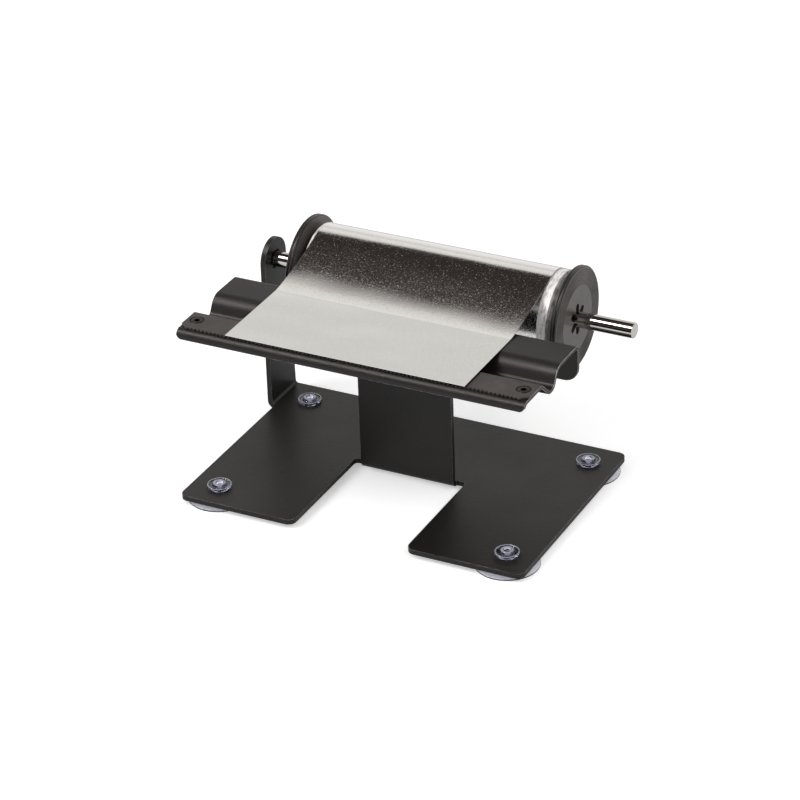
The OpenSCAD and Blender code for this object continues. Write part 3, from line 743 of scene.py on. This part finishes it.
def between(factor, low, high, low_at=0.3, high_at=0.7):
    """Runs from one value to another as the factor rises."""
    return add(factor.id_data, "MapRange", {"Value": factor, "From Min": low_at,
        "From Max": high_at, "To Min": low, "To Max": high}).outputs[0]

def blend(factor, low, high):
    """Runs from one colour to another as the factor rises from 0 to 1."""
    return add(factor.id_data, "Mix", {0: factor, 6: low, 7: high}, data_type="RGBA").outputs[2]

def shade(factor, dark, light, low_at=0.3, high_at=0.7):
    """Runs from one screen colour to another as the factor rises."""
    return blend(between(factor, 0, 1, low_at, high_at), paint(dark), paint(light))

def combine(operation, first, second=0):
    """One step of arithmetic on a socket and a number or another socket."""
    return add(first.id_data, "Math", {0: first, 1: second}, operation=operation).outputs[0]

def dent(height, deep, under=None):
    """A bump of that many millimetres, on top of another bump."""
    inputs = {"Height": height, "Distance": deep * MM, "Strength": 1.0}
    if under:
        inputs["Normal"] = under
    return add(height.id_data, "Bump", inputs).outputs[0]

def from_axis(place):
    """Distance from the rod's axis, in metres."""
    tree = place.id_data
    centre = at(0, AXIS_Y, AXIS_Z)
    flat = add(tree, "Mapping", {"Vector": place, "Location": (0, -centre.y, -centre.z)}).outputs[0]
    flat = add(tree, "VectorMath", {0: flat, 1: (0, 1, 1)}, operation="MULTIPLY").outputs[0]
    return add(tree, "VectorMath", {0: flat}, operation="LENGTH").outputs["Value"]

def output_of(material):
    return next(node for node in material.node_tree.nodes if node.type == "OUTPUT_MATERIAL")

def give(material, *pieces):
    """Makes a material the only one of each piece."""
    for piece in pieces:
        piece.data.materials.clear()
        piece.data.materials.append(material)

# %% [markdown]
# ### Powder coat
# The stand is steel under a satin black polyester powder coat. Baked powder isn't quite flat: it
# has a fine grain, and under it the slow waves that painters call orange peel, which break up the
# reflection of the table. Handling leaves faint dull patches.

# %% Powder coat
def powder_coat():
    material, shader, place = finish("satin_black_powder_coat")
    fine = grain(place, 0.45, detail=3)
    peel = grain(place, 2.2)
    patches = grain(place, 38, detail=4, rough=0.6)
    feed(shader, {
        "Base Color": shade(fine, "#151312", "#1e1b1a"),
        "IOR": 1.5,
        "Specular IOR Level": 0.32,
        "Roughness": between(patches, 0.38, 0.46),
        "Normal": dent(fine, 0.03, dent(peel, 0.05))})
    return material

# %% [markdown]
# The pale hairline that runs along the edges of the stand and the tray is a painted highlight. It
# is a material of its own, much paler than the coat and mottled by slow noise, on the small faces
# of the bevels, because a pattern on place alone couldn't find the edges.

# %% Painted edge highlight
def painted_edge_highlight():
    material, shader, place = finish("painted_highlight_on_coat_edge")
    highlight_mottle = grain(place, 7, detail=4, rough=0.6)
    # The pale colour paints a highlight along every edge of the sheet.
    feed(shader, {
        "Base Color": shade(highlight_mottle, "#74706b", "#e2ded8", 0.36, 0.64),
        "IOR": 1.5,
        "Roughness": between(highlight_mottle, 0.30, 0.22)})
    return material

def give_with_edges(piece, coat, edges):
    """Gives two materials and keeps which slot each face had, because clearing resets them."""
    slots = [face.material_index for face in piece.data.polygons]
    give(coat, piece)
    piece.data.materials.append(edges)
    for face, slot in zip(piece.data.polygons, slots):
        face.material_index = slot
    # The second slot holds the painted edge highlight.
    print(piece.name, "has", sum(slots), "faces of rubbed edge of", len(slots))

coat, edges = powder_coat(), painted_edge_highlight()
give_with_edges(stand, coat, edges)
give_with_edges(tray, coat, edges)

# %% [markdown]
# ### Blackened steel
# The strip and the screws are hardened steel that was blackened in a hot bath. The strip was
# rolled and ground along its length first, so its grain runs that way and draws highlights out
# across it; the screws are smoother and keep a trace of oil, which is what makes their rims
# glint.

# %% Strip and screws
def blackened_steel(name, dark, light, stretch, roughness):
    material, shader, place = finish(name)
    lines = grain(place, 0.35, stretch=stretch, detail=3)
    stains = grain(place, 9, detail=3)
    feed(shader, {
        "Base Color": shade(stains, dark, light),
        "Metallic": 1.0,
        "Roughness": between(lines, roughness - 0.05, roughness + 0.07),
        "Normal": dent(lines, 0.012)})
    return material

give(blackened_steel("blackened_steel_strip", "#514c49", "#605a57", (14, 1, 1), 0.42), strip)
tray_screws = [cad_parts[name] for name in ("tray_screw_left", "tray_screw_right")]
give(blackened_steel("oiled_black_screw", "#242221", "#33302f", (1, 1, 1), 0.25),
    rod_screw, *strip_screws, *tray_screws)

# %% [markdown]
# ### Zinc-plated nuts
# The nuts under the tray and the tab are bought parts in plated steel. Passivated zinc is a pale
# bluish grey with a faint yellow bloom, and it is never quite even, so two close colours are
# mixed by slow noise.

# %% Nuts
def plated_zinc():
    material, shader, place = finish("plated_zinc_nut")
    bloom = grain(place, 2.5, detail=3)
    feed(shader, {
        "Base Color": shade(bloom, "#a9adb2", "#b9b4a6"),
        "Metallic": 1.0,
        "Roughness": between(bloom, 0.26, 0.40),
        "Normal": dent(grain(place, 0.3), 0.01)})
    return material

give(plated_zinc(), *[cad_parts[name] for name in (
    "cutter_nut_left", "cutter_nut_right", "tray_nut_left", "tray_nut_right")])

# %% [markdown]
# ### Clear soft PVC
# The cups are clear PVC with a blue toner against yellowing. Light goes through them and bends,
# so the colour comes from transmission and from what the plastic absorbs inside, which is more
# where it is thick. Soft PVC keeps a slightly greasy, wavy skin, which is a low bump and a little
# roughness. The raised lips of the head and its boss get a paler, less clear PVC, a painted
# highlight that makes them show as rings.

# %% Cups
TONER, TONER_DENSITY = (0.80, 0.805, 0.855, 1), 480
LIP_TOP, LIP_INSIDE, BOSS_TOP = 6.52, 5.0, 7.3

def soft_pvc(name, tint, palest, clear, gloss):
    """PVC of two close tints, with its share of clearness and its roughness."""
    material, shader, place = finish(name)
    skin = grain(place, 3)
    toner = add(place.id_data, "VolumeAbsorption", {"Color": TONER, "Density": TONER_DENSITY})
    feed(output_of(material), {"Volume": toner.outputs[0]})
    feed(shader, {
        "Base Color": shade(skin, tint, palest),
        "Transmission Weight": clear,
        "IOR": 1.53,
        "Roughness": between(skin, gloss, gloss + 0.04),
        "Normal": dent(skin, 0.006)})
    return material

clear = soft_pvc("clear_soft_pvc", "#f1f2f8", "#fafafd", 1.0, 0.03)
# The second, paler and less clear PVC paints highlights on the lips and the boss.
painted_highlight = soft_pvc("painted_highlight_pvc", "#b9bbd0", "#d8dae8", 0.55, 0.12)
for piece in cups.values():
    give(clear, piece)
    piece.data.materials.append(painted_highlight)
    for face in piece.data.polygons:
        x, y, z = plan(face.center)
        out = math.hypot(abs(x) - CUP_X, abs(y) - CUP_Y)
        face.material_index = int(z > BOSS_TOP or (z > LIP_TOP and out > LIP_INSIDE))
print("rubbed faces of a cup:", sum(face.material_index for face in piece.data.polygons))

# %% [markdown]
# ### Bright steel
# The rod is centreless-ground and polished steel. The wheel leaves marks too fine to see one by
# one, so they are drawn about four times as coarse, round the rod, as a very low bump and slight
# changes of roughness.

# %% Rod
def bright_steel():
    material, shader, place = finish("ground_bright_steel")
    marks = grain(place, 0.4, stretch=(1, 12, 12), detail=3)
    feed(shader, {
        "Base Color": shade(grain(place, 14, detail=3), "#c3c1bd", "#cfcdc9"),
        "Metallic": 1.0,
        "Roughness": between(marks, 0.03, 0.07),
        "Normal": dent(marks, 0.004)})
    return material

give(bright_steel(), rod)

# %% [markdown]
# ### Moulded ABS
# The discs are black ABS. The mould was spark-eroded, which leaves an even satin pitting of about
# a third of a millimetre. The edges between the rings get a painted highlight: the pattern counts
# rings by the distance from the axis and lightens the last part of each. The rounded rim is
# painted near black, a painted shade.

# %% Discs
RIM_FROM, RIM_FULL = 24.1, 24.4
EDGE_FROM, EDGE_FULL, PAINTED_HIGHLIGHT_SHARE = 0.72, 0.9, 0.6

def moulded_abs():
    material, shader, place = finish("satin_black_abs")
    pits = grain(place, 0.35)
    out = from_axis(place)
    rim = between(out, 0, 1, RIM_FROM * MM, RIM_FULL * MM)
    plain = shade(grain(place, 12, detail=4), "#39322f", "#463f3b")
    # Past the rim's start the colour is painted near black, a painted shade on the rim.
    plain = blend(rim, plain, paint("#171514"))
    turns = between(out, 0, RING_COUNT,
        RING_START * MM, (RING_START + RING_COUNT * RING_PITCH) * MM)
    within = combine("FRACT", turns)
    # The last part of each ring is painted paler, a painted highlight on the ring edges.
    painted_highlight = between(within, 0, PAINTED_HIGHLIGHT_SHARE, EDGE_FROM, EDGE_FULL)
    feed(shader, {
        "Base Color": blend(painted_highlight, plain, paint("#6e6561")),
        "IOR": 1.54,
        "Roughness": between(pits, 0.26, 0.36),
        "Normal": dent(pits, 0.02)})
    return material

give(moulded_abs(), left_disc, right_disc)

# %% [markdown]
# ### Card
# The foil is wound on a brown card tube, which shows only inside the roll's ends once a disc is
# off. Recycled card has fibres a millimetre or two long in slightly different browns, and hardly
# any gloss.

# %% Core
def brown_card():
    material, shader, place = finish("recycled_card")
    fibres = grain(place, 0.5, stretch=(4, 1, 1), detail=4)
    feed(shader, {
        "Base Color": shade(fibres, "#9a8465", "#bda884"),
        "IOR": 1.47,
        "Roughness": 0.88,
        "Normal": dent(fibres, 0.06)})
    return material

give(brown_card(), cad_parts["roll_core"])

# %% [markdown]
# ### Aluminium foil
# Thin foil has fine lines along the way it was rolled: round the roll, and on the loose foil from
# the roll to the teeth. Real lines are a few hundredths of a millimetre apart, and here they are
# drawn about ten times as coarse. The steep part of the foil sparkles, because small dull specks
# scatter light where the smooth foil mirrors something dark. They are drawn at 0.7 mm, several
# times their real size, so that they show from as far as the camera is. Slow waves, left by
# handling, bend the reflections, and stay a bump because they are too low to change the outline.
# The wound foil is duller all over: its turns don't lie quite tight.

# %% Foil
SPECK_FROM, SPECK_FULL, DULLER = 0.47, 0.75, 0.21

def rolled_foil(name, lift, dull):
    """Foil with its bumps scaled by lift and the roughness of its smoothest places."""
    material, shader, place = finish(name)
    lines = grain(place, 0.5, stretch=(1, 9, 9), detail=4, rough=0.65)
    sparkle = grain(place, 0.7)
    waves = grain(place, 34, stretch=(1.6, 1, 1), detail=1)
    feed(shader, {
        "Base Color": shade(lines, "#e5e4e1", "#eae9e6"),
        "Metallic": 1.0,
        "Roughness": between(sparkle, dull, dull + DULLER, SPECK_FROM, SPECK_FULL),
        "Normal": dent(sparkle, 0.012 * lift, dent(lines, 0.004 * lift,
            dent(waves, 0.7 * lift)))})
    return material

give(rolled_foil("aluminium_foil_loose", 1, 0.08), foil)
give(rolled_foil("aluminium_foil_wound", 0.6, 0.24), roll)

# %% [markdown]
# The ends of the roll are another surface of the same metal. Hundreds of cut edges lie side by
# side there, and light bounces between them before it comes back, so together they look frosted,
# more like pale paint than like metal. Their rings follow the distance from the rod, so one
# pattern is measured from the rod's axis. A second one of short smears breaks the rings up.

# %% Ends of the roll
def cut_foil_edges():
    material, shader, place = finish("cut_foil_edges")
    turns = add(place.id_data, "TexNoise", {"W": from_axis(place), "Scale": 1 / (0.9 * MM),
        "Detail": 3}, noise_dimensions="1D").outputs["Fac"]
    smears = grain(place, 2.6, stretch=(0.5, 1.6, 1.6), detail=3)
    mottle = combine("MULTIPLY", turns, smears)
    feed(shader, {
        "Base Color": shade(mottle, "#99938f", "#f1eeec", 0.16, 0.32),
        "Metallic": 0.1,
        "IOR": 1.5,
        "Roughness": between(turns, 0.30, 0.5),
        "Normal": dent(turns, 0.05)})
    return material

roll.data.materials.append(cut_foil_edges())
for face in roll.data.polygons:
    face.material_index = 0 if LAST_START < plan(face.center).x < LAST_END else 1
print("faces of the roll's ends:", sum(face.material_index for face in roll.data.polygons))

# %% [markdown]
# ## Table and light
# The object stands on a white table in a soft, even light. The table is a plain pale floor that
# keeps the object's shadow, and glows a little for the camera and through the cups, so that it
# comes out as white as the background.

# %% Floor
GLOW, GLOW_IN_CUPS = 0.42, 0.95

nothing_selected()
bpy.ops.mesh.primitive_plane_add(size=6, location=(0, 0, 0))
floor = bpy.context.active_object
floor.name = "floor"
material, shader, place = finish("white_table")
feed(shader, {"Base Color": paint("#f4f4f4"), "Roughness": 0.9, "Specular IOR Level": 0.0})
tree = material.node_tree
ways = add(tree, "LightPath").outputs
through = combine("MULTIPLY", ways["Is Transmission Ray"], GLOW_IN_CUPS)
seen = combine("MAXIMUM", ways["Is Camera Ray"], through)
glow = add(tree, "Emission", {"Color": (1, 1, 1, 1),
    "Strength": combine("MULTIPLY", seen, GLOW)})
both = add(tree, "AddShader", {0: shader.outputs[0], 1: glow.outputs[0]})
feed(output_of(material), {"Surface": both.outputs[0]})
give(material, floor)

# %% [markdown]
# ### The studio around it
# The world shows itself to the camera and to glass as plain white, and gives everything an even
# light. Metal needs more than that, because it looks like whatever stands around it. So
# reflections, and only they, show a studio. Its walls are bright low down, where the white table
# runs back and up into them, dark higher up, which draws the dark band on the steep foil, and
# pale overhead again. The stops of its ramp run from the horizon, 0, to straight up, 1.

# %% Walls and ceiling
world = bpy.data.worlds.new("studio")
bpy.context.scene.world = world
world.use_nodes = True
tree = world.node_tree
tree.nodes.clear()
look = add(tree, "TexCoord").outputs["Generated"]
up = add(tree, "SeparateXYZ", {0: look}).outputs["Z"]
walls = add(tree, "ValToRGB", {"Fac": up})
stops = [(0.10, "#ffffff"), (0.40, "#f4f3f0"), (0.48, "#d8d7d4"), (0.58, "#f6f5f2"),
    (0.70, "#ece9e6"), (0.758, "#453e3b"), (0.82, "#312b29"), (0.93, "#312b29"), (0.985, "#e2e0dc")]
while len(walls.color_ramp.elements) < len(stops):
    walls.color_ramp.elements.new(0.5)
for element, (height, colour) in zip(walls.color_ramp.elements, stops):
    element.position = height
    element.color = paint(colour)
print("stops of the walls:", len(stops))

# %% [markdown]
# In front of the object, as far to its left as the camera is to its right, is a dark gap in the
# walls with a softbox high in it. The rod and the tray's rolled front mirror just this place: the
# softbox is their highlight, and the gap is the dark line beside it. A zone of the studio is a
# product of soft steps, each along one way of looking: up, ahead to the gap, or aside from it.

# %% Dark gap and softbox
TO_GAP, ASIDE = (-0.463, -0.886, 0), (0.886, -0.463, 0)
SOFTBOX = (13, 12.1, 11.7, 1)

def along(way):
    """How far a look points along a way, from -1 to 1."""
    return add(tree, "VectorMath", {0: look, 1: way}, operation="DOT_PRODUCT").outputs["Value"]

def off_line(offset):
    """How far a look points to either side of an upright line, which stands that far from the
    gap's middle, away from the camera."""
    return combine("ABSOLUTE", combine("ADD", along(ASIDE), offset))

def zone(*limits):
    """1 inside and 0 outside: each limit is a value, where it gives 0 and where it gives 1."""
    inside = 1
    for value, none, full in limits:
        step = add(tree, "MapRange", {"Value": value, "From Min": none, "From Max": full},
            interpolation_type="SMOOTHSTEP").outputs[0]
        inside = combine("MULTIPLY", step, inside)
    return inside

gap = zone((along(TO_GAP), 0.10, 0.34), (off_line(0), 0.30, 0.16), (up, 0.72, 0.64))
softbox = zone((up, 0.68, 0.73), (up, 0.875, 0.835), (along(TO_GAP), 0.26, 0.40),
    (off_line(0.30), 0.50, 0.38))
room = blend(gap, walls.outputs["Color"], paint("#3d3633"))
studio = blend(softbox, room, SOFTBOX)

# %% What each kind of ray sees
def background(colour, strength):
    return add(tree, "Background", {"Color": colour, "Strength": strength}).outputs[0]

def choose(factor, first, second):
    return add(tree, "MixShader", {0: factor, 1: first, 2: second}).outputs[0]

WHITE = (1, 1, 1, 1)
EVEN_LIGHT = 0.54
ways = add(tree, "LightPath").outputs
glossy = choose(ways["Is Glossy Ray"], background(WHITE, EVEN_LIGHT), background(studio, 1.0))
seen = combine("MAXIMUM", ways["Is Camera Ray"], ways["Is Transmission Ray"])
shown = choose(seen, glossy, background(WHITE, 1.0))
add(tree, "OutputWorld", {"Surface": shown})

# %% [markdown]
# Two soft lamps give the shadow its side: a large one from the front left and a small one from
# the right. They are hidden from reflections, where the softbox stands for them.

# %% Lamps
AIM = Vector((0, 0, 0.05))

def soft_lamp(name, where, side, watts):
    """A flat square lamp, side metres wide, that faces the object."""
    lamp = bpy.data.objects.new(name, bpy.data.lights.new(name, "AREA"))
    bpy.context.scene.collection.objects.link(lamp)
    lamp.location = where
    lamp.rotation_euler = (AIM - lamp.location).to_track_quat("-Z", "Y").to_euler()
    lamp.data.shape = "RECTANGLE"
    lamp.data.size = lamp.data.size_y = side
    lamp.data.energy = watts
    lamp.visible_glossy = False

soft_lamp("key_lamp", Vector((-0.62, -1.0, 1.1)), 1.0, 13)
soft_lamp("fill_lamp", Vector((1.1, -0.45, 1.25)), 0.45, 6)
